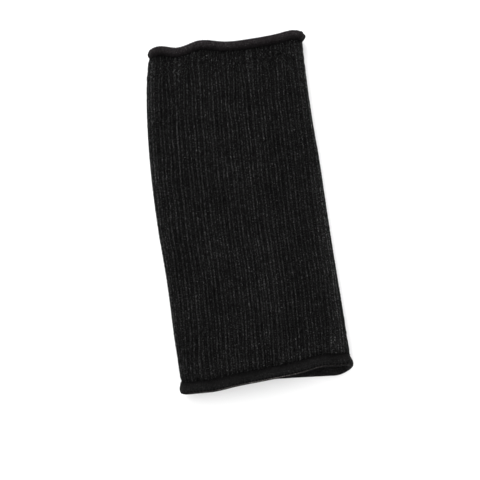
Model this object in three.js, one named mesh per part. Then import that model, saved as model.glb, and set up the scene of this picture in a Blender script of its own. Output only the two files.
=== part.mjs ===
// A short knitted sleeve that guards the wrist and forearm against cuts.
// It is a ribbed tube with a smooth folded hem at each end, and it lies flat on its back:
// the ribs run along Y, the upper rim is at +Y, and the front face looks up along +Z.
// Sizes are in millimetres.
import * as THREE from 'three';
import { ParametricGeometry } from 'three/addons/geometries/ParametricGeometry.js';

// The lie of the whole sleeve
const SLEEVE_LENGTH = 182; // from rim to rim
const FACE_WIDTH = 90; // across the flattened tube where it is widest
const SIDE_HEIGHT = 11; // from the floor to the top of the rounded folds at both sides
const CROWN_RISE = 4; // how far the front face arches above the side folds
const SIDE_BOW = 3.5; // how far the middle bends to the left of the upper end
const RIM_WAVE = 1.6; // height of the waves along the rims
const DENT_DEPTH = 1.1; // depth of the soft hollows in the front face

// The ribbed knit
const RIB_COUNT = 42; // ribs round the tube, half of them on the front face
const KNIT_WALL = 2.2; // from the top of a rib to the inside
const RIB_HEIGHT = 0.7; // from the furrow to the top of a rib
const RIB_CREST = 0.52; // share of a rib's pitch that its top takes up
const RIB_FURROW = 0.24; // share of a rib's pitch that the furrow's floor takes up
const GATHER_COUNT = 14; // bunches of ribs round the tube where a hem gathers it
const GATHER_LEAN = 1.2; // how far a bunch draws its ribs sideways
const GATHER_DEPTH = 0.4; // how far the knit sinks between two bunches
const KNIT_TWIST = 4.9; // how far the ribs have slid round the tube from its upper end to its lower

// The folded hems
const UPPER_HEM_LENGTH = 4.9;
const LOWER_HEM_LENGTH = 6.2;
const HEM_PROUD = 1; // how far a hem swells out of the ribs
const HEM_INSET = 0.4; // how far a hem swells into the hollow
const HEM_FULLNESS = 0.62; // 1 gives a hem an elliptic section, 0 a square one
const SEAM_GAP = 0.3; // between the knit and a hem
const FLOOR_LEAN = 0.3; // a hem is pressed flat where it faces the floor more squarely than this

// How finely the soft surfaces are faceted
const HEM_STEPS_ROUND = 80;
const HEM_STEPS_ACROSS = 10;

const KNIT_COLOUR = 0x1a1a1a;
const HEM_COLOUR = 0x211f20;
const YARN_ROUGHNESS = 0.95;

// Sections along the sleeve, from the lower rim at 0 to the upper rim at 1, as shares of
// FACE_WIDTH, SIDE_BOW, SIDE_HEIGHT and CROWN_RISE.
const SECTIONS = [
  { along: 0.0, width: 0.995, bow: 0.27, side: 1.15, crown: 1.1 },
  { along: 0.07, width: 1.003, bow: 0.4, side: 1.08, crown: 1.1 },
  { along: 0.18, width: 1.0, bow: 0.54, side: 1.0, crown: 0.95 },
  { along: 0.32, width: 0.992, bow: 0.68, side: 0.96, crown: 0.85 },
  { along: 0.48, width: 0.999, bow: 0.93, side: 0.95, crown: 0.85 },
  { along: 0.62, width: 0.998, bow: 1.0, side: 0.96, crown: 0.95 },
  { along: 0.74, width: 0.982, bow: 1.0, side: 0.98, crown: 1.05 },
  { along: 0.86, width: 0.96, bow: 0.76, side: 1.0, crown: 1.0 },
  { along: 0.93, width: 0.944, bow: 0.49, side: 1.02, crown: 0.9 },
  { along: 1.0, width: 0.912, bow: 0.0, side: 1.0, crown: 0.8 },
];

// Waves of the two rims, as shares of RIM_WAVE towards +Y, from the left side fold at -1 to the
// right one at 1, on the front face and on the back.
const RIM_WAVES = [
  { across: -1.0, lowerFront: -0.7, lowerBack: 0.2, upperFront: 0.1, upperBack: -0.6 },
  { across: -0.86, lowerFront: -0.9, lowerBack: 0.3, upperFront: 0.6, upperBack: -0.8 },
  { across: -0.63, lowerFront: -1.35, lowerBack: 0.5, upperFront: -0.6, upperBack: -1.0 },
  { across: -0.34, lowerFront: -0.6, lowerBack: 0.8, upperFront: 0.6, upperBack: -0.8 },
  { across: 0.0, lowerFront: 0.1, lowerBack: 0.8, upperFront: -1.0, upperBack: -1.1 },
  { across: 0.38, lowerFront: 1.2, lowerBack: 0.2, upperFront: -0.95, upperBack: -1.3 },
  { across: 0.68, lowerFront: 2.6, lowerBack: -0.4, upperFront: -0.1, upperBack: -1.1 },
  { across: 0.84, lowerFront: 2.1, lowerBack: -0.5, upperFront: 0.45, upperBack: -0.9 },
  { across: 1.0, lowerFront: 2.2, lowerBack: 1.2, upperFront: 0.0, upperBack: -0.6 },
];

// Soft hollows in the front face: where their middle is along and across, and how long and wide
// they are as shares of SLEEVE_LENGTH and half of FACE_WIDTH. Depth is a share of DENT_DEPTH.
const DENTS = [
  { along: 0.93, across: 0.12, length: 0.05, width: 0.32, depth: 1.0 },
  { along: 0.9, across: -0.62, length: 0.05, width: 0.2, depth: 0.6 },
  { along: 0.6, across: 0.55, length: 0.14, width: 0.22, depth: 0.5 },
  { along: 0.34, across: -0.45, length: 0.16, width: 0.26, depth: 0.8 },
  { along: 0.09, across: -0.3, length: 0.06, width: 0.4, depth: 0.9 },
];

// Where the ribbed tube has its rings of points, as shares of its length between the hems, how
// high the ribs stand there, how much the knit is gathered, and how far it is twisted: the hems
// press the ribs down, and the upper one draws them together in bunches.
const KNIT_RINGS = [
  { share: 0.0, rib: 0.45, gather: 0.3, twist: 1.0 },
  { share: 0.04, rib: 0.9, gather: 0.3, twist: 0.9 },
  { share: 0.13, rib: 1.0, gather: 0.0, twist: 0.64 },
  { share: 0.25, rib: 1.0, gather: 0.0, twist: 0.44 },
  { share: 0.38, rib: 1.0, gather: 0.0, twist: 0.37 },
  { share: 0.5, rib: 1.0, gather: 0.0, twist: 0.29 },
  { share: 0.62, rib: 1.0, gather: 0.0, twist: 0.17 },
  { share: 0.75, rib: 1.0, gather: 0.0, twist: 0.05 },
  { share: 0.87, rib: 1.0, gather: 0.0, twist: 0.0 },
  { share: 0.93, rib: 0.9, gather: 0.4, twist: 0.02 },
  { share: 0.965, rib: 0.7, gather: 1.0, twist: 0.04 },
  { share: 1.0, rib: 0.35, gather: 0.3, twist: 0.05 },
];

// A smooth curve through each named column of a table, against its first column.
function curvesThrough(table) {
  const [key, ...columns] = Object.keys(table[0]);
  const at = table.map((row) => row[key]);
  const values = table.flatMap((row) => columns.map((name) => row[name]));
  const curve = new THREE.CubicInterpolant(at, values, columns.length);
  return (position) => {
    const found = curve.evaluate(THREE.MathUtils.clamp(position, at[0], at.at(-1)));
    return Object.fromEntries(columns.map((name, i) => [name, found[i]]));
  };
}

const sectionAt = curvesThrough(SECTIONS);
const rimWaveAt = curvesThrough(RIM_WAVES);

// The outline of the sleeve where it is cut across: flat on the floor, a half circle at each
// side, and an arch over the front. turn goes once round, from 0 at the middle of the back
// towards the right. It gives the point, the direction outwards, how far across the point is
// (-1 to 1) and how much it belongs to the front face (0 to 1).
function outline(turn, along) {
  const { width, bow, side, crown } = sectionAt(along);
  const radius = (side * SIDE_HEIGHT) / 2;
  const flat = (width * FACE_WIDTH) / 2 - radius;
  const rise = crown * CROWN_RISE;
  const half = 2 * flat + Math.PI * radius;
  const mirror = turn > 0.5 ? -1 : 1;
  const run = half * 2 * (turn > 0.5 ? 1 - turn : turn);
  let x = run;
  let z = 0;
  let outX = 0;
  let outZ = -1;
  if (run > flat + Math.PI * radius) {
    x = half - run;
    const q = x / flat;
    z = 2 * radius + rise * (1 - q * q) ** 2;
    const slope = (-4 * rise * q * (1 - q * q)) / flat;
    outX = -slope / Math.hypot(slope, 1);
    outZ = 1 / Math.hypot(slope, 1);
  } else if (run > flat) {
    const angle = (run - flat) / radius;
    x = flat + radius * Math.sin(angle);
    z = radius - radius * Math.cos(angle);
    outX = Math.sin(angle);
    outZ = -Math.cos(angle);
  }
  const across = (mirror * x) / (flat + radius);
  const front = THREE.MathUtils.smoothstep(z, 0, 2 * radius);
  z -= front * dentAt(across, along);
  return { x: mirror * x - bow * SIDE_BOW, z, outX: mirror * outX, outZ, across, front };
}

// How far the front face sinks at a place, from all the hollows together.
function dentAt(across, along) {
  return DENTS.reduce((sum, dent) => {
    const u = (across - dent.across) / dent.width;
    const v = (along - dent.along) / dent.length;
    return sum + dent.depth * DENT_DEPTH * Math.exp(-u * u - v * v);
  }, 0);
}

// The two rims' places along Y at a turn round the sleeve.
function rimsAt(turn) {
  const [low, high] = [outline(turn, 0), outline(turn, 1)];
  const [lowWave, highWave] = [rimWaveAt(low.across), rimWaveAt(high.across)];
  const { lerp } = THREE.MathUtils;
  const half = SLEEVE_LENGTH / 2;
  return {
    lower: -half + RIM_WAVE * lerp(lowWave.lowerBack, lowWave.lowerFront, low.front),
    upper: half + RIM_WAVE * lerp(highWave.upperBack, highWave.upperFront, high.front),
  };
}

// Puts target at a place on the sleeve's skin, or lift millimetres outside it. Where the skin
// lies on the floor, nothing swells out of it.
function placeOnSkin(target, turn, y, lift) {
  const skin = outline(turn, y / SLEEVE_LENGTH + 0.5);
  const pressed = lift > 0 ? THREE.MathUtils.smoothstep(-skin.outZ, FLOOR_LEAN, 1) : 0;
  const out = lift * (1 - pressed);
  target.set(skin.x + out * skin.outX, y, skin.z + out * skin.outZ);
}

// A closed skin over a loop that is carried round the sleeve. place sets a point from its step
// round the sleeve and its step along the loop, which goes up outside and down inside.
function closedSkin(name, stepsRound, loopSteps, colour, place) {
  const point = (u, v, target) => {
    const i = Math.round(v * stepsRound) % stepsRound;
    const j = Math.round(u * loopSteps) % loopSteps;
    place(target, i, j);
  };
  const geometry = new ParametricGeometry(point, loopSteps, stepsRound);
  const material = new THREE.MeshStandardMaterial({ color: colour, roughness: YARN_ROUGHNESS });
  const mesh = new THREE.Mesh(geometry, material);
  mesh.name = name;
  return mesh;
}

// The ribbed tube: its loop goes up the outside, ring by ring, and down the smooth inside, which
// needs only every other ring and both ends.
function ribbedTube() {
  const corners = [
    { shift: -RIB_CREST / 2, depth: 0 },
    { shift: RIB_CREST / 2, depth: 0 },
    { shift: 0.5 - RIB_FURROW / 2, depth: 1 },
    { shift: 0.5 + RIB_FURROW / 2, depth: 1 },
  ];
  const outside = KNIT_RINGS.map((ring) => ({ ...ring, lift: 0 }));
  const inside = KNIT_RINGS.filter((_, i, all) => i % 2 === 0 || i === all.length - 1)
    .reverse()
    .map(({ share, twist }) => ({ share, rib: 0, gather: 0, twist, lift: -KNIT_WALL }));
  const loop = [...outside, ...inside];
  const stepsRound = RIB_COUNT * corners.length;
  return closedSkin('ribbed_tube', stepsRound, loop.length, KNIT_COLOUR, (target, i, j) => {
    const corner = corners[i % corners.length];
    const evenTurn = (Math.floor(i / corners.length) + corner.shift) / RIB_COUNT;
    const { share, rib, gather, twist, lift } = loop[j];
    const bunch = 2 * Math.PI * GATHER_COUNT * evenTurn;
    const aside = gather * GATHER_LEAN * Math.sin(bunch) + twist * KNIT_TWIST;
    const turn = THREE.MathUtils.euclideanModulo(evenTurn + aside / (2 * FACE_WIDTH), 1);
    const rims = rimsAt(turn);
    const lowest = rims.lower + LOWER_HEM_LENGTH + SEAM_GAP;
    const highest = rims.upper - UPPER_HEM_LENGTH - SEAM_GAP;
    const y = THREE.MathUtils.lerp(lowest, highest, share);
    const sunk = (gather * GATHER_DEPTH * (1 + Math.cos(bunch))) / 2;
    placeOnSkin(target, turn, y, lift - sunk - corner.depth * rib * RIB_HEIGHT);
  });
}

// A folded hem: a full, rounded welt that follows one rim. side is -1 at the lower rim and 1 at
// the upper one.
function foldedHem(name, side, length) {
  const thickness = HEM_PROUD + KNIT_WALL + HEM_INSET;
  const middle = HEM_PROUD - thickness / 2;
  const swell = (value) => Math.sign(value) * Math.abs(value) ** HEM_FULLNESS;
  return closedSkin(name, HEM_STEPS_ROUND, HEM_STEPS_ACROSS, HEM_COLOUR, (target, i, j) => {
    const turn = i / HEM_STEPS_ROUND;
    const angle = (2 * Math.PI * (j + 0.5)) / HEM_STEPS_ACROSS;
    const rims = rimsAt(turn);
    const rim = side > 0 ? rims.upper : rims.lower;
    const y = rim - (side * length) / 2 - (length / 2) * swell(Math.cos(angle));
    placeOnSkin(target, turn, y, middle + (thickness / 2) * swell(Math.sin(angle)));
  });
}

const sleeve = new THREE.Group();
sleeve.add(ribbedTube());
sleeve.add(foldedHem('upper_hem', 1, UPPER_HEM_LENGTH));
sleeve.add(foldedHem('lower_hem', -1, LOWER_HEM_LENGTH));

// The origin is under the middle of the sleeve, on the floor.
const reach = new THREE.Box3().setFromObject(sleeve, true);
const middle = reach.getCenter(new THREE.Vector3());
sleeve.position.set(-middle.x, -middle.y, -reach.min.z);

export default sleeve;
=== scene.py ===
"""A short black knitted sleeve that guards the wrist and forearm against cuts.

It lies on its back on a pale floor: the ribs run along Y, the upper, narrower rim is at +Y and
the front face looks up along +Z. All lengths are in metres, in the frame of the solids.
"""
import math

import bpy
import numpy as np
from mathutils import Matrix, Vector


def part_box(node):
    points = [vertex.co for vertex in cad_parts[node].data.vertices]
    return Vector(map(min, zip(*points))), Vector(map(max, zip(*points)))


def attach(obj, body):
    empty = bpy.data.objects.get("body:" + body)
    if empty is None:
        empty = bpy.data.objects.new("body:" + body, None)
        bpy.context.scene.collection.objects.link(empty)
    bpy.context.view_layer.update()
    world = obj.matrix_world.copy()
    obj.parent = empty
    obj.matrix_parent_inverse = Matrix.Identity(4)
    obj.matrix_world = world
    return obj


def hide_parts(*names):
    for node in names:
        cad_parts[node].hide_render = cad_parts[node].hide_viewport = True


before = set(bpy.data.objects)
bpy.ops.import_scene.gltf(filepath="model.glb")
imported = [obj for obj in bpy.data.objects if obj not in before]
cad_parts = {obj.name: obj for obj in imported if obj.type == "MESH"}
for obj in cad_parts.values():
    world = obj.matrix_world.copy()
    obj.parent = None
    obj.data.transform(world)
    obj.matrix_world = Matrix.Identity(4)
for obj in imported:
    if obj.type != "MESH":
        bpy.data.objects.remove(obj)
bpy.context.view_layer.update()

MM = 0.001

# The lie of the whole sleeve
SLEEVE_LENGTH = 182 * MM
FACE_WIDTH = 90 * MM
SIDE_HEIGHT = 11 * MM
CROWN_RISE = 4 * MM
SIDE_BOW = 3.5 * MM
RIM_WAVE = 1.6 * MM
DENT_DEPTH = 1.1 * MM
SOFT_WAVE = 0.35 * MM  # height of the faint swells of the front face

# The ribbed knit
RIB_COUNT = 42
KNIT_WALL = 2.2 * MM
RIB_DEPTH = 0.95 * MM  # from the furrow to the top of the ground under a rib's stitches
GROUND_INSET = 0.24 * MM  # how far the ground lies under the tops of the stitches
INNER_RELIEF = 0.35 * MM  # how far the ribs show on the inside
GATHER_COUNT = 14  # bunches round the gathered ends
GATHER_LEAN = 1.2 * MM  # how far they draw the ribs sideways
GATHER_DEPTH = 0.5 * MM  # and let the knit sink between them
CRUMPLE_LEAN = 0.4 * MM
CRUMPLE_DEPTH = 0.5 * MM
CRUMPLE_TWIST = 0.35  # how far gathered stitches turn, in radians
RIB_SWAY = 0.16 * MM  # how far a rib strays from a straight line
KNIT_TWIST = 4.9 * MM  # how far the ribs slide round the tube from the upper end to the lower
KNIT_TUCK = 0.008  # share of the knit's length that each of its ends runs on into a hem

GIRTH = 191 * MM  # once round the tube
KNIT_LENGTH = 170.9 * MM  # between the hems
PINCH_DEPTH = 0.5 * MM  # how far the knit sinks at its seams with the hems
PINCH_REACH = 0.006  # and how far from them, as a share of the knit's length

# The stitches: two slanted legs on each raised wale, and a bar across each furrow
COURSE_COUNT = 236
LEG_LENGTH = 1.1 * MM
LEG_WIDTH = 0.44 * MM
LEG_SPREAD = 0.22 * MM  # from the middle of a wale to the middle of a leg
LEG_TILT = 0.27  # how far a leg leans outwards, in radians
LEG_RISE = 0.26 * MM
BAR_LENGTH = 1.25 * MM
BAR_WIDTH = 0.42 * MM
BAR_RISE = 0.22 * MM
TROUGH_LENGTH = 1.3 * MM  # of a bar between the two wales of a rib
TROUGH_RISE = 0.14 * MM
YARN_SPREAD = 0.41  # spread of the square root of the legs' lightness
BAR_SPREAD = 0.26  # and of the bars'
WALE_SPREAD = 0.08  # and from one wale to the next
GLINT_SHARE = 0.03  # share of the stitches made lighter: light fibres with painted glints
GLINT_GAIN = (1.5, 3.2)  # how many times lighter those are
ROOT_LIMITS = (0.12, 2.0)  # between which that square root is kept
LIGHTEST_YARN = 4.5  # the most that a stitch's lightness is, as a share of the plain yarn's
EDGE_SPREAD = 0.2  # spread of lightness along the chain of a rim
FURROW_PAINTED_SHADE = 0.42  # painted shade: how light the ground is coloured in a furrow, as a share of its shade on a rib
FURROW_TOP = 0.5  # how high up a rib that ends, as a share of RIB_DEPTH
SEAM_PAINTED_SHADE = 0.35  # painted shade: how much darker the knit is coloured in the crease beside a hem
SEAM_REACH = 2.6 * MM
FOLD_FUZZ_AND_SHEEN = 0.55  # how much lighter the side folds are coloured: their fuzz, with a painted sheen
FOLD_SPAN = (0.84, 0.97)  # where that starts and is full, from the middle at 0 to a fold at 1

# How much one stitch differs from the next: its place along and aside, its heading in radians,
# and its length, width and rise as shares
STRAY = {
    "along": 0.05 * MM, "aside": 0.035 * MM, "heading": 0.06,
    "length": 0.07, "width": 0.12, "rise": 0.2,
}

# Unevenness of the knit: seed, how many waves, and the finest and widest of them round and along
SWELLS = {"seed": 3, "waves": 6, "finest": (3, 4)}
CRUMPLES = {"seed": 11, "waves": 8, "finest": (60, 60), "widest": (24, 20)}
PUCKERS = {"seed": 12, "waves": 8, "finest": (64, 56), "widest": (20, 24)}
SWAYS = {"seed": 13, "waves": 8, "finest": (9, 7)}

# The folded hems
UPPER_HEM_LENGTH = 4.9 * MM
LOWER_HEM_LENGTH = 6.2 * MM
HEM_PROUD = 1 * MM  # how far a hem stands outside the skin
HEM_INSET = 0.4 * MM  # and inside the knit's wall
HEM_FULLNESS = 0.62  # 1 makes its section an ellipse, and less makes it squarer
FLOOR_LEAN = 0.3  # how much the skin faces down where the floor starts to press it
HEM_WALES = 204
HEM_WALE_STEPS = 4  # points to a wale
HEM_LOOP_STEPS = 30  # and once round a hem's section
HEM_WALE_RISE = 0.07 * MM
HEM_COURSES = 26
HEM_SWELL = 0.2 * MM  # how unevenly a hem is filled
WRINKLE_HEIGHT = 0.26 * MM
# Swells and wrinkles of a hem: how many waves, and the finest and widest of them round and along
HEM_SWELLS = {"waves": 9, "finest": (16, 1)}
HEM_WRINKLES = {"waves": 7, "finest": (64, 4), "widest": (26, 1)}

# The chain along a rim: how many stitches it has, its place on the hem's loop, and a stitch's
# length, width and rise
UPPER_EDGE = (130, 0.42, 1.15 * MM, 1.0 * MM, 0.5 * MM)
LOWER_EDGE = (204, 0.12, 1.15 * MM, 0.85 * MM, 0.36 * MM)
PIT_COUNT = 114  # small pits round the lower hem
PIT_PLACE = 0.16  # where the pits are on the hem's loop
PIT_RADII = (0.3, 0.55)  # mm, of a pit's floor and of its mouth
PIT_DEPTH = 0.2 * MM
HEM_LOOP_LENGTH = 16.0  # mm, once round a hem's section
UPPER_HEM_DROOP = 0.85  # how much a hem's outside falls away towards its seam
LOWER_HEM_DROOP = 0.5
DROOP_START = 0.3  # how far from its middle towards the rim that starts
EDGE_OUTWARD = 0.6  # how much a rim's chain stands away from the hem's edge rather than its face
EDGE_LEAN = 0.006  # how far its stitches lean to either side, as a share of the hem's loop
EDGE_STRAY = 0.07  # how unevenly they are spaced, as a share of their pitch

# The row of links beside a hem
LINKS_A_WALE = 2
LINK_LENGTH = 1.2 * MM
LINK_WIDTH = 0.55 * MM
LINK_SLANT = 0.14 * MM
LINK_OFFSET = 0.15 * MM  # from the hem's seam towards the knit
LINK_DEPTH = 0.62 * MM  # under the tops of the stitches
LINK_RISE = 0.3 * MM
LINK_STRAY = 0.06

# Loose fibres on the front face
FIBRE_COUNT = 420
FIBRE_RINGS = 7
FIBRE_SIDES = 3
FIBRE_TURNS = (0.3, 0.7)  # the part of a turn that they stand on
FIBRE_SHARES = (0.01, 0.99)  # and the part of the knit's length
FIBRE_LENGTHS = (1.2 * MM, 3.6 * MM)
FIBRE_HEIGHTS = (0.08 * MM, 0.4 * MM)
FIBRE_BEND = 0.9  # how far one bends sideways, in radians
FIBRE_ARCH = 0.7  # its arc is a half wave to this power
FIBRE_SEED = 41
FIBRE_ROOT = 0.05 * MM  # how deep its ends are among the stitches
FIBRE_RADIUS = 0.022 * MM
FIBRE_TIP = 0.1  # where in the half wave of its thickness a fibre starts

# How finely the skins are divided, and the map for patterns on them
OUTSIDE_RINGS = 112
INSIDE_RINGS = 40
RING_CROWDING = 0.35  # 0 spaces the rings evenly, 1 as the sine of their place
PATTERN_MAP = "knit_map"
MAP_SPAN = 2.1  # up the outside and down the inside, in lengths of the knit
FITTING_TURNS = 400
FITTING_ROWS = 60
TUBE_REACH = 0.47  # how far the tube reaches from the middle, as a share of SLEEVE_LENGTH

# Colours of the yarns, in linear light
STITCH_YARN = (0.0108, 0.0108, 0.0108)
BAR_YARN = (0.0122, 0.0122, 0.0122)
# darker than the bars on the furrows: painted shade in the trough between a rib's two wales
TROUGH_YARN = (0.0070, 0.0070, 0.0070)
GROUND_YARN = (0.0086, 0.0086, 0.0086)
UPPER_HEM_YARN = (0.0136, 0.0121, 0.0127)
# about half as light as the upper hem's yarn: in part its own darker tone, in part painted shade,
# as it faces away from the lamp
LOWER_HEM_YARN = (0.0070, 0.0069, 0.0069)
UPPER_EDGE_YARN = (0.003, 0.003, 0.003)
LOWER_EDGE_YARN = (0.02, 0.0182, 0.0172)
# the links' yarn is near black: painted shade of the groove beside a hem
PAINTED_SHADE_LINK_YARN = (0.0015, 0.0015, 0.0015)
LIGHT_FIBRE = (0.05, 0.048, 0.046)
# painted shade on the floors of the pits
PIT_PAINTED_SHADE = (0.001, 0.001, 0.001, 1)

# Patterns in the yarn: scales of noise, in waves a metre, and how it is stretched along X, Y, Z
CLOUD_SCALE = 70.0
STREAK_SCALES = (1400.0, 60.0, 900.0)
FIBRE_SCALE = 5200.0
FIBRE_STRETCH = (1.0, 0.45, 1.0)
GRAIN_SCALE = 1900.0
GRAIN_STRETCH = (1.0, 0.8, 1.0)
GRAIN_RANGE = (0.32, 0.68, -0.9, 0.9)  # noise from and to, and how much it darkens and lightens
# painted glints: small spots where the yarn is coloured lighter
PAINTED_GLINT_SCALE = 1500.0
PAINTED_GLINT_RANGE = (0.66, 0.74, 0.0, 1.0)
LEAST_SHADES = (0.1, 0.05)  # the yarn is never darker, before the grains and after them
LEG_SLOPE = -1.6  # how steeply a drawn leg climbs, in courses a wale
BAR_ARCH = 2.4  # how much a drawn bar bends
FIBRE_RELIEF = 0.05 * MM
GROUND_RELIEF = 0.2 * MM
HEM_RELIEF = 0.08 * MM
RELIEF_PAINTED_SHADES = (0.0, 0.8, 0.45, 1.0)  # relief from and to, and how light it is there: painted shade between the stitches
ROUGHNESS = (0.3, 0.7, 0.78, 0.95)  # fibre noise from and to, and how rough the yarn is there
SHEEN_ROUGHNESS = 0.45
SHEEN_TINT = (0.5, 0.5, 0.5, 1)
FLAT = {"fuzz": 0.01, "gloss": 0.01}  # yarn that lies deep and catches little light
HEM_GRAIN = 0.7

# The floor, the camera and the light
FLOOR_REACH = 3.0
FLOOR_COLOUR = (0.92, 0.92, 0.92, 1)
FLOOR_ROUGHNESS = 0.9
FLOOR_GLOSS = 0.1
SENSOR = 36.0
DISTANCE = 0.8
FRAME_WIDTH = 251.9 * MM  # what the frame takes in at the sleeve
LENS = SENSOR * DISTANCE / FRAME_WIDTH
AZIMUTH = -7.3
ELEVATION = 84.0
AIM = (-4.2 * MM, -15 * MM, 8 * MM)
ROUND_LIGHT = 1.45
KEY_SIZE = 0.7
KEY_POWER = 9.0
KEY_PLACE = (196.0, 38.0, 1.2)  # azimuth, elevation and distance

# Sections along the sleeve, from the lower rim at 0 to the upper rim at 1, as shares of
# FACE_WIDTH, SIDE_BOW, SIDE_HEIGHT and CROWN_RISE
SECTIONS = {
    "along": (0.0, 0.07, 0.18, 0.32, 0.48, 0.62, 0.74, 0.86, 0.93, 1.0),
    "width": (0.995, 1.003, 1.0, 0.992, 0.999, 0.998, 0.982, 0.96, 0.944, 0.912),
    "bow": (0.27, 0.4, 0.54, 0.68, 0.93, 1.0, 1.0, 0.76, 0.49, 0.0),
    "side": (1.15, 1.08, 1.0, 0.96, 0.95, 0.96, 0.98, 1.0, 1.02, 1.0),
    "crown": (1.1, 1.1, 0.95, 0.85, 0.85, 0.95, 1.05, 1.0, 0.9, 0.8),
}

# Waves of the two rims, as shares of RIM_WAVE towards +Y, from the left side fold at -1 to the
# right one at 1
RIM_WAVES = {
    "across": (-1.0, -0.86, -0.63, -0.34, 0.0, 0.38, 0.68, 0.84, 1.0),
    "lower_front": (-0.7, -0.8, -0.95, -0.15, 0.45, 1.3, 2.5, 2.1, 2.1),
    "lower_back": (0.2, 0.3, 0.5, 0.8, 0.8, 0.2, -0.4, -0.6, 0.7),
    "upper_front": (0.3, 0.6, -0.6, 0.6, -1.0, -0.95, -0.1, 0.45, 0.0),
    "upper_back": (-0.1, -0.6, -1.0, -0.8, -1.1, -1.3, -1.1, -0.9, -0.6),
}

# Soft hollows in the front face: place along and across, length and width as shares of
# SLEEVE_LENGTH and half of FACE_WIDTH, and depth as a share of DENT_DEPTH
DENTS = {
    "along": (0.93, 0.9, 0.6, 0.34, 0.09),
    "across": (0.12, -0.62, 0.55, -0.45, -0.3),
    "length": (0.05, 0.05, 0.14, 0.16, 0.06),
    "width": (0.32, 0.2, 0.22, 0.26, 0.4),
    "depth": (1.0, 0.6, 0.5, 0.8, 0.9),
}

# Along the knit between the hems: how high the ribs stand, how much the knit is gathered, and
# how far it is twisted, as a share of KNIT_TWIST
KNIT_RINGS = {
    "share": (0.0, 0.04, 0.13, 0.25, 0.38, 0.5, 0.62, 0.75, 0.87, 0.93, 0.965, 1.0),
    "rib": (0.45, 0.9, 1.0, 1.0, 1.0, 1.0, 1.0, 1.0, 1.0, 0.9, 0.7, 0.35),
    "gather": (0.3, 0.3, 0.0, 0.0, 0.0, 0.0, 0.0, 0.0, 0.0, 0.4, 1.0, 0.3),
    "twist": (1.0, 0.9, 0.64, 0.44, 0.37, 0.29, 0.17, 0.05, 0.0, 0.02, 0.04, 0.05),
}

# How much each hem is wrinkled and how far it swells out, as shares of WRINKLE_HEIGHT and
# HEM_PROUD, and how light the chain along its rim is, from the left side fold to the right one
HEM_SHAPES = {
    "across": (-1.0, -0.85, -0.6, -0.42, -0.25, 0.0, 0.25, 0.6, 0.8, 1.0),
    "upper_wrinkle": (0.5, 0.3, 0.2, 0.9, 1.0, 0.9, 0.3, 0.15, 0.8, 0.9),
    "lower_wrinkle": (0.5, 0.3, 0.2, 0.15, 0.1, 0.1, 0.15, 0.2, 0.5, 0.8),
    "upper_proud": (0.6, 0.8, 0.9, 1.0, 0.9, 0.8, 0.9, 1.0, 1.1, 1.15),
    "lower_proud": (1.0, 1.0, 1.0, 1.0, 1.0, 1.0, 1.0, 1.0, 1.0, 0.75),
    "upper_chain": (1.0, 1.0, 1.0, 1.0, 1.0, 1.0, 1.0, 1.0, 1.0, 1.0),
    "lower_chain": (0.5, 0.8, 1.6, 2.2, 2.7, 2.9, 2.5, 0.9, 0.4, 0.4),
}

# Painted light and shade on a hem's outside, how light its yarn is from the seam at -1 to the rim
# at 1: lighter on the lit top of the roll, darker down towards the seam where its shade falls
HEM_PAINTED_SHADES = {
    "away": (-1.0, -0.6, -0.2, 0.15, 0.4, 0.7, 1.0),
    "upper": (0.35, 0.5, 1.05, 1.3, 1.3, 1.2, 1.1),
    "lower": (0.3, 0.75, 1.0, 1.05, 1.1, 1.15, 1.1),
}
# painted light: the hem's inside is coloured lighter where little light reaches it
INNER_HEM_PAINTED_LIGHT = 1.2

# One rib across: two raised wales, the right one higher, and the furrow between ribs. Shares of
# a rib's pitch from its middle, and of RIB_DEPTH.
RIB_PROFILE = {
    "share": (
        -0.5, -0.42, -0.34, -0.28, -0.21, -0.14, -0.07,
        -0.01, 0.05, 0.12, 0.19, 0.26, 0.32, 0.41,
    ),
    "height": (
        0.0, 0.04, 0.24, 0.6, 0.82, 0.62, 0.24,
        0.12, 0.28, 0.78, 1.0, 0.74, 0.26, 0.03,
    ),
}
CLOSED_RIB = {  # the same with the start of the next rib
    "share": (*RIB_PROFILE["share"], RIB_PROFILE["share"][0] + 1),
    "height": (*RIB_PROFILE["height"], RIB_PROFILE["height"][0]),
}
WALE_SHARES = (-0.21, 0.19)  # where the two raised wales of a rib are
TROUGH_SHARES = (-0.01,)  # where the trough between them is
FURROW_SHARES = (0.5,)  # and the furrow between two ribs

# A leg of a stitch is a small closed spindle with six corners and eight faces: across, along and
# up, as shares of half its width, half its length and its rise
SPINDLE = np.array(
    [[0, -1, 0.1], [1, -0.1, 0.2], [0, 1, 0.3], [-1, 0.1, 0.2], [0, 0, 1], [0, 0, -0.6]]
)
SPINDLE_FACES = np.array(
    [[0, 1, 4], [1, 2, 4], [2, 3, 4], [3, 0, 4], [1, 0, 5], [2, 1, 5], [3, 2, 5], [0, 3, 5]]
)

# Legs and bars of stitches: place aside, heading, length, width and rise
LEGS = [
    (side * LEG_SPREAD, side * LEG_TILT, LEG_LENGTH, LEG_WIDTH, LEG_RISE) for side in (-1, 1)
]
FURROW_BARS = [(0.0, math.pi / 2, BAR_LENGTH, BAR_WIDTH, BAR_RISE)]
TROUGH_BARS = [(0.0, math.pi / 2, TROUGH_LENGTH, BAR_WIDTH, TROUGH_RISE)]

# The first rib of each half: ribs are numbered from the middle of the back
BACK_RIB = -(RIB_COUNT // 4)
FRONT_RIB = BACK_RIB + RIB_COUNT // 2

# Side, length, droop and seed of each hem
UPPER_HEM = (1, UPPER_HEM_LENGTH, UPPER_HEM_DROOP, 31)
LOWER_HEM = (-1, LOWER_HEM_LENGTH, LOWER_HEM_DROOP, 35)


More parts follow.
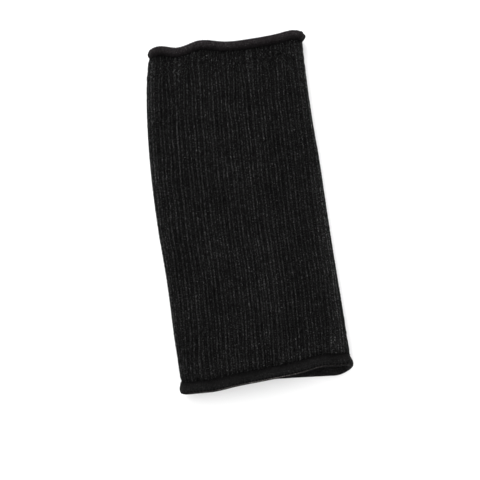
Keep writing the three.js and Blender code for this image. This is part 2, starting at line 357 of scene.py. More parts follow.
def smooth(position, table, column):
    """A cubic curve through a table's column against its first column: on each stretch, the
    Hermite blend of its two ends, each with the slope that the table has there."""
    at = np.array(next(iter(table.values())))
    values = np.array(table[column])
    slopes = np.gradient(values, at)
    position = np.clip(position, at[0], at[-1])
    left = np.clip(np.searchsorted(at, position, side="right") - 1, 0, len(at) - 2)
    step = at[left + 1] - at[left]
    t = (position - at[left]) / step
    start = values[left] * (1 + 2 * t) * (1 - t) ** 2 + slopes[left] * step * t * (1 - t) ** 2
    end = values[left + 1] * t**2 * (3 - 2 * t) - slopes[left + 1] * step * t**2 * (1 - t)
    return start + end


def smoothstep(value, low, high):
    """0 below low and 1 above high, with an S between them: 3 t squared less 2 t cubed."""
    t = np.clip((value - low) / (high - low), 0, 1)
    return t * t * (3 - 2 * t)


def ripples(seed, across, along, waves, finest, widest=(1, 0)):
    """Smooth unevenness of about 1: a sum of sine waves that run in directions drawn at random,
    with between widest and finest waves over each of the two inputs."""
    draw = np.random.default_rng(seed)
    total = np.zeros(np.broadcast(across, along).shape)
    for _ in range(waves):
        rates = [draw.integers(low, high + 1) for low, high in zip(widest, finest)]
        phase, way = draw.uniform(0, 2 * np.pi), draw.choice((-1, 1))
        total += np.sin(2 * np.pi * (rates[0] * across + way * rates[1] * along) + phase)
    return total / math.sqrt(waves)


def skin(turn, along):
    """The sleeve's skin where it is cut across: flat on the floor, a half circle at each side and
    over the front the arch rise (1 - q squared) squared, less the dents. turn goes once round
    from the middle of the back towards +X. Gives x, z, the direction outwards and how far across
    and how much to the front a point is."""
    width, bow, side, crown = (
        smooth(along, SECTIONS, name) for name in ("width", "bow", "side", "crown")
    )
    radius = side * SIDE_HEIGHT / 2
    flat = width * FACE_WIDTH / 2 - radius
    half = 2 * flat + np.pi * radius
    turn = np.mod(turn, 1)
    mirror = np.where(turn > 0.5, -1.0, 1.0)
    run = 2 * half * np.minimum(turn, 1 - turn)
    angle = np.clip((run - flat) / radius, 0, np.pi)
    over = run > flat + np.pi * radius
    q = np.where(over, (half - run) / flat, 0)
    rise = crown * CROWN_RISE
    slope = np.where(over, -4 * rise * q * (1 - q * q) / flat, 0)
    x = np.where(over, half - run, np.where(run < flat, run, flat + radius * np.sin(angle)))
    z = np.where(over, 2 * radius + rise * (1 - q * q) ** 2, radius * (1 - np.cos(angle)))
    out_x = np.where(over, -slope / np.hypot(slope, 1), np.sin(angle))
    out_z = np.where(over, 1 / np.hypot(slope, 1), -np.cos(angle))
    across = mirror * x / (flat + radius)
    front = smoothstep(z, 0, 2 * radius)
    swell = SOFT_WAVE * ripples(across=across / 2, along=along, **SWELLS)
    z = z - front * (dents(across, along) + swell)
    return mirror * x - bow * SIDE_BOW, z, mirror * out_x, out_z, across, front


def dents(across, along):
    """How far the front face sinks: for each dent its depth times e to the power of minus the
    squared distance from its middle, in its own length and width."""
    sunk = np.zeros(np.broadcast(across, along).shape)
    for at, beside, length, width, depth in zip(*DENTS.values()):
        u = (across - beside) / width
        v = (along - at) / length
        sunk += depth * DENT_DEPTH * np.exp(-u * u - v * v)
    return sunk


def rims(turn):
    """The lower and the upper rim's place along Y at a turn round the sleeve."""
    ends = []
    for along, name in ((0.0, "lower"), (1.0, "upper")):
        *_, across, front = skin(turn, np.full_like(turn, along))
        back = smooth(across, RIM_WAVES, name + "_back")
        wave = back + front * (smooth(across, RIM_WAVES, name + "_front") - back)
        ends.append((along - 0.5) * SLEEVE_LENGTH + RIM_WAVE * wave)
    return ends


def on_skin(turn, y, lift):
    """Points lift metres outside the skin. Where the skin lies on the floor, nothing swells out
    of it, and nothing goes below the floor."""
    x, z, out_x, out_z, *_ = skin(turn, y / SLEEVE_LENGTH + 0.5)
    pressed = np.where(lift > 0, smoothstep(-out_z, FLOOR_LEAN, 1), 0)
    out = lift * (1 - pressed)
    return np.stack([x + out * out_x, y + 0 * x, np.maximum(z + out * out_z, 0)], -1)


def in_knit(turn, share, lift):
    """Points of the knit: share goes from 0 at the lower hem to 1 at the upper one. The ribs sway
    a little, and near the hems bunches and crumples draw them sideways and let them sink. lift is
    measured from the tops of the stitches."""
    gather = smooth(share, KNIT_RINGS, "gather")
    bunch = 2 * np.pi * GATHER_COUNT * turn
    crumple = ripples(across=turn, along=share, **CRUMPLES)
    pucker = ripples(across=turn, along=share, **PUCKERS)
    sway = RIB_SWAY * ripples(across=turn, along=share, **SWAYS)
    lean = gather * (GATHER_LEAN * np.sin(bunch) + CRUMPLE_LEAN * crumple) + sway
    lean = lean + KNIT_TWIST * smooth(share, KNIT_RINGS, "twist")
    sunk = gather * (GATHER_DEPTH * (1 + np.cos(bunch)) / 2 + CRUMPLE_DEPTH * (1 + pucker) / 2)
    ends = np.exp(-((share / PINCH_REACH) ** 2)) + np.exp(-(((1 - share) / PINCH_REACH) ** 2))
    sunk = sunk + PINCH_DEPTH * ends
    turned = turn + lean / (2 * FACE_WIDTH)
    lower, upper = rims(turned)
    lowest = lower + LOWER_HEM_LENGTH
    highest = upper - UPPER_HEM_LENGTH
    return on_skin(turned, lowest + share * (highest - lowest), lift - sunk)


def ground_lift(turn, share):
    """How far the ground fabric lies from the tops of the stitches: GROUND_INSET down at the top
    of a rib, and RIB_DEPTH more in the furrow, less where the hems press the ribs down."""
    within = np.mod(turn * RIB_COUNT + 0.5, 1) - 0.5
    height = smooth(within, CLOSED_RIB, "height")
    return -GROUND_INSET - (1 - height) * smooth(share, KNIT_RINGS, "rib") * RIB_DEPTH


def new_piece(name, points, faces, material, uv=None, values=None):
    """A smooth-shaded mesh from whole arrays, with its UV map and its values at the points, that
    rides with the sleeve."""
    mesh = bpy.data.meshes.new(name)
    mesh.vertices.add(len(points))
    mesh.vertices.foreach_set("co", np.ascontiguousarray(points, np.float32).ravel())
    corners = faces.shape[1]
    mesh.loops.add(faces.size)
    mesh.loops.foreach_set("vertex_index", faces.astype(np.int32).ravel())
    mesh.polygons.add(len(faces))
    mesh.polygons.foreach_set("loop_start", np.arange(0, faces.size, corners, dtype=np.int32))
    mesh.update(calc_edges=True)
    mesh.polygons.foreach_set("use_smooth", np.ones(len(faces), bool))
    if uv is not None:
        layer = mesh.uv_layers.new(name=PATTERN_MAP)
        layer.uv.foreach_set("vector", np.ascontiguousarray(uv, np.float32).ravel())
    for key, value in (values or {}).items():
        attribute = mesh.attributes.new(key, "FLOAT", "POINT")
        attribute.data.foreach_set("value", np.ascontiguousarray(value, np.float32).ravel())
    mesh.validate()
    mesh.materials.append(material)
    piece = bpy.data.objects.new(name, mesh)
    bpy.context.scene.collection.objects.link(piece)
    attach(piece, "root")
    return piece


def closed_rings(points, up):
    """Faces and UVs of a skin that closes on itself both ways: points has one row for each step
    up the outside and down the inside, and one column for each step round. up gives each row's v,
    with one more for the row where the skin closes."""
    rows, columns = points.shape[:2]
    index = np.arange(rows * columns).reshape(rows, columns)
    above, beside = np.roll(index, -1, 0), np.roll(index, -1, 1)
    faces = np.stack([index, above, np.roll(above, -1, 1), beside], -1).reshape(-1, 4)
    u = np.broadcast_to(np.arange(columns) / columns, (rows, columns))
    low = np.broadcast_to(np.asarray(up[:-1])[:, None], (rows, columns))
    high = np.broadcast_to(np.asarray(up[1:])[:, None], (rows, columns))
    next_u = u + 1 / columns
    uv = np.stack([u, low, u, high, next_u, high, next_u, low], -1).reshape(-1, 2)
    return faces, uv


def knit_tube(material):
    """The ground fabric. Each row is a ring of points at rib profile steps round the sleeve: the
    rows go up the outside, closer together near the gathered ends, and down the inside, where the
    ribs show faintly."""
    steps = np.array(RIB_PROFILE["share"])
    turn = ((np.arange(RIB_COUNT)[:, None] + steps) / RIB_COUNT).ravel()
    spread = np.linspace(-1, 1, OUTSIDE_RINGS)
    even = spread * (1 - RING_CROWDING) + np.sin(spread * np.pi / 2) * RING_CROWDING
    outside = 0.5 + even * (0.5 + KNIT_TUCK)
    inside = np.linspace(1 + KNIT_TUCK, -KNIT_TUCK, INSIDE_RINGS)
    share = np.concatenate([outside, inside])[:, None]
    within = ground_lift(turn, np.full_like(share, 0.5)) + GROUND_INSET
    inner = -KNIT_WALL + INNER_RELIEF * (1 + within / RIB_DEPTH)
    is_outside = np.arange(len(share))[:, None] < OUTSIDE_RINGS
    lift = np.where(is_outside, ground_lift(turn, share), inner)
    points = in_knit(turn + 0 * share, share + 0 * turn, lift)
    up = np.concatenate([outside, 1 + (1 - inside) + 2 * KNIT_TUCK])
    up = (np.append(up, up[-1] + KNIT_TUCK) - up[0]) / MAP_SPAN
    faces, uv = closed_rings(points, up)
    # painted shade: the ground is coloured darker down in the furrows
    furrow = FURROW_PAINTED_SHADE + (1 - FURROW_PAINTED_SHADE) * smoothstep(1 + within / RIB_DEPTH, 0, FURROW_TOP)
    values = {"shade": knit_shade(turn + 0 * share, share + 0 * turn) * furrow}
    return new_piece("knit_tube", settle(points), faces, material, uv, values)


def settle(points):
    """The points as a flat list, moved from the sleeve's own frame to the one of the solids."""
    return points.reshape(-1, 3) + SHIFT


def spindle_faces(count):
    """The faces of count spindles whose corners follow one another, seen from outside."""
    return (np.arange(count)[:, None, None] * len(SPINDLE) + SPINDLE_FACES).reshape(-1, 3)


def laid_spindles(wale, course, aside, heading, length, width, rise):
    """Spindles laid on the ground fabric, one for each row of the inputs: aside metres beside a
    wale, and turned by heading from straight up the sleeve. Gives points, turns and shares."""
    x, y, up = SPINDLE.T
    x, y = x * width / 2, y * length / 2
    across = aside + np.cos(heading) * x + np.sin(heading) * y
    along = np.cos(heading) * y - np.sin(heading) * x
    turn = wale / RIB_COUNT + across / GIRTH
    share = course + along / KNIT_LENGTH
    return in_knit(turn, share, ground_lift(turn, share) + rise * up), turn, share


def stitches(name, first, wales, legs, material, seed, spread=YARN_SPREAD):
    """The stitches on half of the ribs, from rib number first: at each course, each of the wales
    has one spindle for each of its legs, given as its place aside, heading, length, width and
    rise. Each differs a little, they turn where the knit is gathered, and spread says how much
    their lightness varies."""
    draw = np.random.default_rng(seed)
    wales = (np.arange(RIB_COUNT // 2)[:, None] + first + np.array(wales)).ravel()
    courses = (np.arange(COURSE_COUNT) + 0.5) / COURSE_COUNT
    wale, course, leg = np.meshgrid(wales, courses, np.arange(len(legs)), indexing="ij")
    wale, course = wale.reshape(-1, 1), course.reshape(-1, 1)
    aside, heading, length, width, rise = np.array(legs)[leg.ravel()].T[:, :, None]
    count = len(wale)
    vary = draw.normal(0, 1, (6, count, 1))
    gather = smooth(course, KNIT_RINGS, "gather")
    points, turn, share = laid_spindles(
        wale,
        course + STRAY["along"] / KNIT_LENGTH * vary[0],
        aside + STRAY["aside"] * vary[1],
        heading + STRAY["heading"] * vary[2] + CRUMPLE_TWIST * gather * vary[3],
        length * (1 + STRAY["length"] * vary[4]),
        width * (1 + STRAY["width"] * vary[5]),
        rise * (1 + STRAY["rise"] * vary[3]),
    )
    faces = spindle_faces(count)[:, ::-1]  # from outside, turn grows to the left
    uv = np.stack([turn, share], -1).reshape(-1, 2)[faces.ravel()]
    shade = np.repeat(yarn_shades(draw, count, wale, spread), len(SPINDLE))
    values = {"shade": shade * knit_shade(turn, share).ravel()}
    return new_piece(name, settle(points), faces, material, uv, values)


def knit_shade(turn, share):
    """How light the knit is at a place: painted shade makes it darker in the creases beside the
    hems, and it is lighter along the side folds, where fuzz stands out, with a painted sheen on
    it."""
    from_ends = np.minimum(share, 1 - share) * KNIT_LENGTH / SEAM_REACH
    *_, across, _ = skin(turn, share)
    # the side folds are coloured lighter: their fuzz, with a painted sheen at grazing light
    fuzz_and_sheen = FOLD_FUZZ_AND_SHEEN * smoothstep(np.abs(across), *FOLD_SPAN)
    return (1 - SEAM_PAINTED_SHADE * np.exp(-(from_ends**2))) * (1 + fuzz_and_sheen)


def yarn_shades(draw, count, wale, spread):
    """How light each of count stitches is: the square of 1 plus a normal spread, with a share of
    the wale's own, times the gain of the few with light fibres and painted glints."""
    own, which = np.unique(np.round(wale.ravel(), 3), return_inverse=True)
    root = 1 + spread * draw.normal(0, 1, count)
    root = root + WALE_SPREAD * draw.normal(0, 1, len(own))[which]
    shows = draw.uniform(0, 1, count) < GLINT_SHARE
    gain = np.where(shows, draw.uniform(*GLINT_GAIN, count), 1)
    return np.minimum(np.clip(root, *ROOT_LIMITS) ** 2 * gain, LIGHTEST_YARN)


def at_rim(turn, side):
    """Which rim is at a side, where it is along Y, and how far across each point of it is."""
    end = ("lower", "upper")[side > 0]
    *_, across, _ = skin(turn, np.full_like(turn, 0.5 + side / 2))
    return end, rims(turn)[side > 0], across


def hem_surface(turn, loop, side, length, droop, seed):
    """Where a folded hem's surface is: its section is a superellipse, the sine and cosine of the
    angle each to the power HEM_FULLNESS, whose outside falls away by droop towards the seam, and
    it is unevenly filled and wrinkled. Gives y, lift, how much a point is on the outside, and the
    painted light and shade of its yarn there."""
    out, away = (
        np.sign(value) * np.abs(value) ** HEM_FULLNESS
        for value in (np.sin(2 * np.pi * loop), -side * np.cos(2 * np.pi * loop))
    )
    end, rim, across = at_rim(turn, side)
    wrinkled = smooth(across, HEM_SHAPES, end + "_wrinkle")
    proud = HEM_PROUD * smooth(across, HEM_SHAPES, end + "_proud")
    thickness = proud + KNIT_WALL + HEM_INSET
    uneven = HEM_SWELL * ripples(seed, turn, loop, **HEM_SWELLS)
    wrinkles = wrinkled * ripples(seed + 1, turn, loop, **HEM_WRINKLES)
    uneven = uneven + WRINKLE_HEIGHT * wrinkles
    y = rim - side * (length / 2) * (1 - away)
    fall = 1 - droop * smoothstep(-away, -DROOP_START, 1) * (out > 0)
    lift = proud - thickness / 2 + thickness / 2 * out * fall + uneven * out
    # painted light and shade on the outside, and painted light on the inside
    shade = np.where(out > 0, smooth(away, HEM_PAINTED_SHADES, end), INNER_HEM_PAINTED_LIGHT)
    return y, lift, out, shade


def hem_welt(name, side, length, droop, seed, material):
    """A folded hem: a full, rounded welt that follows one rim, with fine wales that stand out of
    it as rounded ridges. side is -1 at the lower rim and 1 at the upper one."""
    columns = HEM_WALES * HEM_WALE_STEPS
    turn = np.arange(columns)[None, :] / columns
    loop = (np.arange(HEM_LOOP_STEPS)[:, None] + 0.5) / HEM_LOOP_STEPS
    turn, loop = np.broadcast_arrays(turn, loop)
    y, lift, out, shade = hem_surface(turn, loop, side, length, droop, seed)
    ridge = HEM_WALE_RISE * (1 - np.abs(np.sin(np.pi * HEM_WALES * turn)))
    faces, uv = closed_rings(turn, np.linspace(0, 1, HEM_LOOP_STEPS + 1))
    points = settle(on_skin(turn, y, lift + ridge * out))
    return new_piece(name, points, faces, material, uv, {"shade": shade})


def leaning(count):
    """1 and -1 in turn, one row for each of count stitches."""
    return np.where(np.arange(count) % 2, 1, -1)[:, None]


def edge_chain(name, side, length, droop, seed, edge, material):
    """The chain of stitches along a rim: spindles laid round the sleeve on the hem, each leaning
    against the next. edge gives their count, place on the hem's loop, length, width and rise, and
    the hem's own seed keeps the chain on its surface."""
    draw = np.random.default_rng(seed)
    count, place, stitch_length, stitch_width, rise = edge
    aside, ahead, up = SPINDLE.T
    lean = leaning(count) * EDGE_LEAN
    turn = (np.arange(count)[:, None] + draw.normal(0, EDGE_STRAY, (count, 1))) / count
    turn = np.mod(turn + stitch_length / 2 * ahead / GIRTH, 1)
    loop = place + (stitch_width / 2 * aside) / (HEM_LOOP_LENGTH * MM) + lean * ahead
    y, lift, *_ = hem_surface(turn, loop, side, length, droop, seed)
    beyond = side * rise * up * EDGE_OUTWARD
    points = on_skin(turn, y + beyond, lift + rise * up * (1 - EDGE_OUTWARD))
    end, _, across = at_rim(turn, side)
    faded = smooth(across, HEM_SHAPES, end + "_chain")
    values = {"shade": np.exp(EDGE_SPREAD * draw.normal(0, 1, (count, 1))) * faded}
    faces = spindle_faces(count)
    return new_piece(name, settle(points), faces, material, values=values)


def linking_row(name, side, length, material, seed):
    """The row of links that joins a hem to the knit: spindles laid round the sleeve in the groove
    beside the hem, two to a wale, leaning against each other like a chain."""
    draw = np.random.default_rng(seed)
    count = HEM_WALES * LINKS_A_WALE
    place = (np.arange(count)[:, None] + draw.normal(0, LINK_STRAY, (count, 1))) / count
    aside, ahead, up = SPINDLE.T
    slant = leaning(count) * LINK_SLANT
    along = LINK_WIDTH / 2 * aside + slant * ahead
    turn = place + LINK_LENGTH / 2 * ahead / GIRTH
    _, rim, _ = at_rim(turn, side)
    y = rim - side * (length + LINK_OFFSET) + along
    points = on_skin(turn, y, -LINK_DEPTH + LINK_RISE * up + 0 * y)
    values = {"shade": np.ones(points.shape[:2])}
    faces = spindle_faces(count)
    return new_piece(name, settle(points), faces, material, values=values)


def loose_fibres(material):
    """Short fibres that stand off the knit: each is a thin three-sided tube along an arc that
    leaves the stitches, bends over and comes down again."""
    draw = np.random.default_rng(FIBRE_SEED)
    turn = draw.uniform(*FIBRE_TURNS, (FIBRE_COUNT, 1))
    share = draw.uniform(*FIBRE_SHARES, (FIBRE_COUNT, 1))
    heading = draw.uniform(0, 2 * np.pi, (FIBRE_COUNT, 1))
    length = draw.uniform(*FIBRE_LENGTHS, (FIBRE_COUNT, 1))
    bend = draw.normal(0, FIBRE_BEND, (FIBRE_COUNT, 1))
    height = draw.uniform(*FIBRE_HEIGHTS, (FIBRE_COUNT, 1))
    t = np.linspace(0, 1, FIBRE_RINGS)[None, :]
    way = heading + bend * (t - 0.5)
    across = np.cumsum(np.cos(way), 1) * length / FIBRE_RINGS
    along = np.cumsum(np.sin(way), 1) * length / FIBRE_RINGS
    middle_turn = turn + across / GIRTH
    middle_share = share + along / SLEEVE_LENGTH
    lift = height * np.sin(np.pi * t) ** FIBRE_ARCH - FIBRE_ROOT
    spine = in_knit(middle_turn, middle_share, lift)
    radius = FIBRE_RADIUS * np.sin(np.pi * (FIBRE_TIP + (1 - 2 * FIBRE_TIP) * t))
    points, faces = tubes(spine, radius, FIBRE_SIDES)
    values = {"shade": np.ones(len(points))}
    return new_piece("loose_fibres", points, faces, material, values=values)


def tubes(spine, radius, sides):
    """Thin closed tubes: spine has a row of points for each tube, and round each point stands a
    ring of sides at the given radius, square to the way the tube runs. A fan of triangles closes
    each end. Gives points and three-sided faces."""
    ahead = np.gradient(spine, axis=1)
    ahead /= np.linalg.norm(ahead, axis=2, keepdims=True)
    flat = np.cross([0.0, 0.0, 1.0], ahead)
    flat /= np.maximum(np.linalg.norm(flat, axis=2, keepdims=True), 1e-9)
    over = np.cross(ahead, flat)
    angle = 2 * np.pi * np.arange(sides) / sides
    radius = np.broadcast_to(radius, spine.shape[:2])[:, :, None, None]
    ring = np.cos(angle)[:, None] * flat[:, :, None] + np.sin(angle)[:, None] * over[:, :, None]
    points = spine[:, :, None] + radius * ring
    count, rings = spine.shape[:2]
    index = np.arange(count * rings * sides).reshape(count, rings, sides)
    low, high = index[:, :-1], index[:, 1:]
    next_low, next_high = np.roll(low, -1, 2), np.roll(high, -1, 2)
    walls = np.stack([low, next_low, next_high, low, next_high, high], -1).reshape(-1, 3)
    near, far = index[:, 0], index[:, -1]
    first = np.broadcast_to(near[:, :1], (count, sides - 2))
    last = np.broadcast_to(far[:, :1], (count, sides - 2))
    near_cap = np.stack([first, near[:, 2:], near[:, 1:-1]], -1).reshape(-1, 3)
    far_cap = np.stack([last, far[:, 1:-1], far[:, 2:]], -1).reshape(-1, 3)
    return settle(points), np.concatenate([walls, near_cap, far_cap])


class Tree:
    """A node tree that is filled one node at a time: each call adds a node, sets or links its
    inputs and gives its first output."""

    def __init__(self, tree):
        self.tree = tree

    def node(self, kind, inputs=(), **settings):
        made = self.tree.nodes.new(kind)
        for key, value in settings.items():
            setattr(made, key, value)
        for key, value in dict(inputs).items():
            self.put(made.inputs[key], value)
        return made

    def put(self, socket, value):
        if isinstance(value, bpy.types.NodeSocket):
            self.tree.links.new(value, socket)
        else:
            socket.default_value = value

    def math(self, operation, *values):
        return self.node("ShaderNodeMath", enumerate(values), operation=operation).outputs[0]

    def noise(self, vector, scale, detail=2.0, roughness=0.5):
        inputs = {"Vector": vector, "Scale": scale, "Detail": detail, "Roughness": roughness}
        return self.node("ShaderNodeTexNoise", inputs).outputs["Fac"]

    def stretch(self, vector, scale):
        inputs = {"Vector": vector, "Scale": scale}
        return self.node("ShaderNodeMapping", inputs).outputs[0]

    def remap(self, value, low, high, to_low, to_high):
        inputs = zip(("Value", "From Min", "From Max", "To Min", "To Max"),
                     (value, low, high, to_low, to_high))
        return self.node("ShaderNodeMapRange", inputs).outputs[0]

    def blend(self, amount, first, second):
        made = self.node("ShaderNodeMix", data_type="RGBA")
        for socket, value in zip((made.inputs[0], made.inputs[6], made.inputs[7]),
                                 (amount, first, second)):
            self.put(socket, value)
        return made.outputs[2]


def node_group(name, inputs, outputs):
    """A shader node group with named sockets, and the node that holds its inputs."""
    group = bpy.data.node_groups.new(name, "ShaderNodeTree")
    for key, kind, default in inputs:
        socket = group.interface.new_socket(key, in_out="INPUT", socket_type="NodeSocket" + kind)
        if default is not None:
            socket.default_value = default
    for key, kind in outputs:
        group.interface.new_socket(key, in_out="OUTPUT", socket_type="NodeSocket" + kind)
    tree = Tree(group)
    return tree, tree.node("NodeGroupInput"), tree.node("NodeGroupOutput")


def stitch_relief_group():
    """The relief of plain stitches over a map, 0 to 1: Wales columns by Courses rows. On the knit
    side each column is two rows of slanted legs, on the purl side a pile of arched bars."""
    tree, given, result = node_group(
        "stitch_relief",
        [("Map", "Vector", None), ("Wales", "Float", 100.0), ("Courses", "Float", 100.0),
         ("Purl", "Float", 0.0)],
        [("Height", "Float")],
    )
    place = tree.node("ShaderNodeSeparateXYZ", {"Vector": given.outputs["Map"]})
    column = tree.math("FRACT", tree.math("MULTIPLY", place.outputs[0], given.outputs["Wales"]))
    aside = tree.math("ABSOLUTE", tree.math("SUBTRACT", column, 0.5))
    row = tree.math("MULTIPLY", place.outputs[1], given.outputs["Courses"])

    def bump_of(phase):
        centred = tree.math("MULTIPLY_ADD", tree.math("FRACT", phase), 2.0, -1.0)
        return tree.math("SUBTRACT", 1.0, tree.math("MULTIPLY", centred, centred))

    leg_row = bump_of(tree.math("MULTIPLY_ADD", aside, LEG_SLOPE, row))
    leg_side = tree.math("MULTIPLY_ADD", aside, 4.0, -1.0)
    leg_side = tree.math("SUBTRACT", 1.0, tree.math("MULTIPLY", leg_side, leg_side))
    knit = tree.math("MULTIPLY", leg_row, leg_side)
    arch = tree.math("MULTIPLY", aside, aside)
    bar_row = bump_of(tree.math("MULTIPLY_ADD", arch, BAR_ARCH, row))
    bar_side = tree.math("SUBTRACT", 1.0, arch)
    purl = tree.math("MULTIPLY", bar_row, bar_side)
    mixed = tree.node("ShaderNodeMix", {0: given.outputs["Purl"], 2: knit, 3: purl})
    tree.put(result.inputs["Height"], mixed.outputs[0])
    return tree.tree


def yarn_colour_group():
    """The colour of a yarn times Shade: in faint clouds, in streaks along the wales, with lighter
    and darker grains the size of a stitch, some of which carry painted glints, and with fine
    fibres."""
    tree, given, result = node_group(
        "yarn_colour",
        [("Place", "Vector", None), ("Shade", "Float", 1.0), ("Yarn", "Color", None),
         ("Unevenness", "Float", 0.5), ("Grain", "Float", 1.0), ("Glint", "Float", 2.5)],
        [("Colour", "Color"), ("Fibre", "Float")],
    )
    place = given.outputs["Place"]
    clouds = tree.noise(place, CLOUD_SCALE, 3.0)
    streaks = tree.noise(tree.stretch(place, STREAK_SCALES), 1.0, 2.0)
    fibre = tree.noise(tree.stretch(place, FIBRE_STRETCH), FIBRE_SCALE, 3.0, 0.65)
    shade = tree.math("ADD", tree.math("ADD", clouds, streaks), fibre)
    shade = tree.math("MULTIPLY_ADD", shade, 2.0, -3.0)
    shade = tree.math("MULTIPLY_ADD", shade, given.outputs["Unevenness"], 1.0)
    grain = tree.noise(tree.stretch(place, GRAIN_STRETCH), GRAIN_SCALE, 2.0, 0.6)
    grain = tree.remap(grain, *GRAIN_RANGE)
    grain = tree.math("MULTIPLY_ADD", grain, given.outputs["Grain"], 1.0)
    shade = tree.math("MULTIPLY", tree.math("MAXIMUM", shade, LEAST_SHADES[0]), grain)
    # painted glints: small spots of the yarn coloured lighter
    glint = tree.remap(tree.noise(place, PAINTED_GLINT_SCALE, 1.0), *PAINTED_GLINT_RANGE)
    glint = tree.math("MULTIPLY_ADD", glint, given.outputs["Glint"], 1.0)
    shade = tree.math("MULTIPLY", shade, glint)
    shade = tree.math("MAXIMUM", shade, LEAST_SHADES[1])
    shade = tree.math("MULTIPLY", shade, given.outputs["Shade"])
    scaled = tree.node("ShaderNodeVectorMath", operation="SCALE")
    tree.put(scaled.inputs[0], given.outputs["Yarn"])
    tree.put(scaled.inputs["Scale"], shade)
    tree.put(result.inputs["Colour"], scaled.outputs[0])
    tree.put(result.inputs["Fibre"], fibre)
    return tree.tree


def pit_row(tree, cloth_map):
    """A mask of the small round pits along a hem: 1 on a pit's floor and 0 outside its mouth."""
    place = tree.node("ShaderNodeSeparateXYZ", {"Vector": cloth_map})
    turned = tree.math("FRACT", tree.math("MULTIPLY", place.outputs[0], float(PIT_COUNT)))
    pitch = GIRTH / MM / PIT_COUNT
    aside = tree.math("MULTIPLY_ADD", turned, pitch, -pitch / 2)
    along = tree.math(
        "MULTIPLY_ADD", place.outputs[1], HEM_LOOP_LENGTH, -HEM_LOOP_LENGTH * PIT_PLACE
    )
    squares = (tree.math("MULTIPLY", value, value) for value in (aside, along))
    return tree.remap(tree.math("SQRT", tree.math("ADD", *squares)), *PIT_RADII, 1.0, 0.0)


def cloth_material(name, yarn, unevenness=0.5, grain=1.0, relief=None, depth=HEM_RELIEF,
                   pits=False, fuzz=0.03, gloss=0.015):
    """A knitted cloth: yarn colour, fine fibre relief, and a soft sheen of fuzz. relief gives the
    wales, courses and purl share of plain stitches that are drawn on the piece's own map, with
    painted shade between them, and pits adds the row of pits, with painted shade on their floors."""
    material = bpy.data.materials.new(name)
    material.use_nodes = True
    tree = Tree(material.node_tree)
    shader = material.node_tree.nodes["Principled BSDF"]
    place = tree.node("ShaderNodeTexCoord").outputs["Object"]
    colour = tree.node("ShaderNodeGroup", node_tree=YARN_COLOUR)
    tree.put(colour.inputs["Place"], place)
    colour.inputs["Yarn"].default_value = (*yarn, 1)
    colour.inputs["Unevenness"].default_value = unevenness
    colour.inputs["Grain"].default_value = grain
    shade = tree.node("ShaderNodeAttribute", attribute_name="shade", attribute_type="GEOMETRY")
    tree.put(colour.inputs["Shade"], shade.outputs["Fac"])
    height = tree.math("MULTIPLY", colour.outputs["Fibre"], FIBRE_RELIEF)
    base = colour.outputs["Colour"]
    if relief:
        pattern = tree.node("ShaderNodeGroup", node_tree=STITCH_RELIEF)
        cloth_map = tree.node("ShaderNodeUVMap", uv_map=PATTERN_MAP)
        tree.put(pattern.inputs["Map"], cloth_map.outputs[0])
        for key, value in zip(("Wales", "Courses", "Purl"), relief):
            pattern.inputs[key].default_value = value
        height = tree.math("MULTIPLY_ADD", pattern.outputs["Height"], depth, height)
        # painted shade: the yarn is coloured darker where the drawn relief is low
        between = tree.remap(pattern.outputs["Height"], *RELIEF_PAINTED_SHADES)
        darker = tree.node("ShaderNodeVectorMath", operation="SCALE")
        tree.put(darker.inputs[0], base)
        tree.put(darker.inputs["Scale"], between)
        base = darker.outputs[0]
    if pits:
        mask = pit_row(tree, cloth_map.outputs[0])
        # painted shade: the pits' floors are coloured near black
        base = tree.blend(mask, base, PIT_PAINTED_SHADE)
        height = tree.math("MULTIPLY_ADD", mask, -PIT_DEPTH, height)
    bump = tree.node("ShaderNodeBump", {"Height": height, "Strength": 1.0, "Distance": 1.0})
    tree.put(shader.inputs["Base Color"], base)
    tree.put(shader.inputs["Normal"], bump.outputs[0])
    rough = tree.remap(colour.outputs["Fibre"], *ROUGHNESS)
    tree.put(shader.inputs["Roughness"], rough)
    shader.inputs["Specular IOR Level"].default_value = gloss
    shader.inputs["Sheen Weight"].default_value = fuzz
    shader.inputs["Sheen Roughness"].default_value = SHEEN_ROUGHNESS
    shader.inputs["Sheen Tint"].default_value = SHEEN_TINT
    return material


def pale_floor():
    """The floor: one large, matt, nearly white square."""
    signs = ((-1, -1), (1, -1), (1, 1), (-1, 1))
    corners = [(x * FLOOR_REACH, y * FLOOR_REACH, 0) for x, y in signs]
    mesh = bpy.data.meshes.new("pale_floor")
    mesh.from_pydata(corners, [], [(0, 1, 2, 3)])
    material = bpy.data.materials.new("pale_floor")
    material.use_nodes = True
    shader = material.node_tree.nodes["Principled BSDF"]
    shader.inputs["Base Color"].default_value = FLOOR_COLOUR
    shader.inputs["Roughness"].default_value = FLOOR_ROUGHNESS
    shader.inputs["Specular IOR Level"].default_value = FLOOR_GLOSS
    mesh.materials.append(material)
    floor = bpy.data.objects.new("pale_floor", mesh)
    bpy.context.scene.collection.objects.link(floor)
    return floor


def look_from(target, azimuth, elevation, distance):
    """A place at a distance from target, and the turn that looks back at it with +Z up. Azimuth 0
    looks along +Y."""
    a, e = math.radians(azimuth), math.radians(elevation)
    back = np.array([math.sin(a) * math.cos(e), -math.cos(a) * math.cos(e), math.sin(e)])
    return np.array(target) + distance * back, (math.pi / 2 - e, 0, a)


def photo_camera():
    """The camera at the photograph's angle: almost square to the front face, with the sleeve
    leaning to the left."""
    data = bpy.data.cameras.new("photo_camera")
    data.lens = LENS
    data.sensor_width = SENSOR
    camera = bpy.data.objects.new("photo_camera", data)
    camera.location, camera.rotation_euler = look_from(AIM, AZIMUTH, ELEVATION, DISTANCE)
    bpy.context.scene.collection.objects.link(camera)
    bpy.context.scene.camera = camera


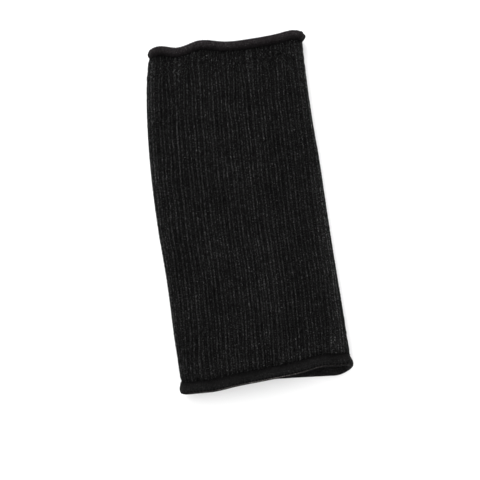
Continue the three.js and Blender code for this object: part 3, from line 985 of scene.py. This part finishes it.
def studio():
    """Soft light from all round and one wide, soft lamp from beyond the upper rim, a little to
    the right."""
    world = bpy.data.worlds.new("studio")
    bpy.context.scene.world = world
    world.use_nodes = True
    sky = world.node_tree.nodes["Background"]
    sky.inputs["Color"].default_value = (1, 1, 1, 1)
    sky.inputs["Strength"].default_value = ROUND_LIGHT
    data = bpy.data.lights.new("key_lamp", "AREA")
    data.shape = "DISK"
    data.size = KEY_SIZE
    data.energy = KEY_POWER
    lamp = bpy.data.objects.new("key_lamp", data)
    lamp.location, lamp.rotation_euler = look_from((0, 0, 0), *KEY_PLACE)
    bpy.context.scene.collection.objects.link(lamp)
    bpy.context.scene.view_settings.view_transform = "Standard"


def shift_to_solids():
    """How far the sleeve's own frame lies from the one of the solids, whose origin is under the
    middle of the whole sleeve: the tube has the same middle across as the ribbed_tube solid, and
    the upper rim reaches as far along Y as the upper_hem solid."""
    turns = np.linspace(0, 1, FITTING_TURNS, endpoint=False)
    rows = np.linspace(-TUBE_REACH, TUBE_REACH, FITTING_ROWS)[:, None] * SLEEVE_LENGTH
    tube_x = on_skin(turns[None, :], rows, np.zeros((1, 1)))[..., 0]
    low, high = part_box("ribbed_tube")
    aside = (low.x + high.x) / 2 - (tube_x.min() + tube_x.max()) / 2
    fine_turns = np.linspace(0, 1, 2 * FITTING_TURNS, endpoint=False)
    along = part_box("upper_hem")[1].y - rims(fine_turns)[1].max()
    return np.array([aside, along, 0.0])


SHIFT = shift_to_solids()

STITCH_RELIEF = stitch_relief_group()
YARN_COLOUR = yarn_colour_group()

ground_relief = (4.0 * RIB_COUNT, 2.0 * COURSE_COUNT, 1.0)
ground = cloth_material("rib_ground_knit", GROUND_YARN, relief=ground_relief,
                        depth=GROUND_RELIEF, **FLAT)
stitch = cloth_material("rib_stitch_yarn", STITCH_YARN)
bar = cloth_material("rib_furrow_yarn", BAR_YARN)
trough = cloth_material("rib_trough_yarn", TROUGH_YARN, **FLAT)
hem_relief = (float(HEM_WALES), float(HEM_COURSES), 0.0)
upper_hem = cloth_material("upper_hem_knit", UPPER_HEM_YARN, grain=HEM_GRAIN,
                           relief=hem_relief)
lower_hem = cloth_material("lower_hem_knit", LOWER_HEM_YARN, grain=HEM_GRAIN,
                           relief=hem_relief, pits=True)
upper_edge = cloth_material("upper_edge_yarn", UPPER_EDGE_YARN, fuzz=0.02)
lower_edge = cloth_material("lower_edge_yarn", LOWER_EDGE_YARN)
link = cloth_material("linking_yarn", PAINTED_SHADE_LINK_YARN, fuzz=0.02, gloss=0.01)
fibre = cloth_material("loose_fibre", LIGHT_FIBRE)

tube = knit_tube(ground)
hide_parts("ribbed_tube")
yarns = [
    stitches("front_stitches", FRONT_RIB, WALE_SHARES, LEGS, stitch, 21),
    stitches("back_stitches", BACK_RIB, WALE_SHARES, LEGS, stitch, 22),
    stitches("front_furrow_bars", FRONT_RIB, FURROW_SHARES, FURROW_BARS, bar, 23, BAR_SPREAD),
    stitches("back_furrow_bars", BACK_RIB, FURROW_SHARES, FURROW_BARS, bar, 24, BAR_SPREAD),
    stitches("front_trough_bars", FRONT_RIB, TROUGH_SHARES, TROUGH_BARS, trough, 25, BAR_SPREAD),
    stitches("back_trough_bars", BACK_RIB, TROUGH_SHARES, TROUGH_BARS, trough, 26, BAR_SPREAD),
]
hems = [
    hem_welt("upper_hem_welt", *UPPER_HEM, upper_hem),
    hem_welt("lower_hem_welt", *LOWER_HEM, lower_hem),
]
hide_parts("upper_hem")
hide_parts("lower_hem")
edge_chain("upper_edge_chain", *UPPER_HEM, UPPER_EDGE, upper_edge)
edge_chain("lower_edge_chain", *LOWER_HEM, LOWER_EDGE, lower_edge)
linking_row("upper_linking_row", 1, UPPER_HEM_LENGTH, link, 33)
linking_row("lower_linking_row", -1, LOWER_HEM_LENGTH, link, 34)
loose_fibres(fibre)
pale_floor()
photo_camera()
studio()
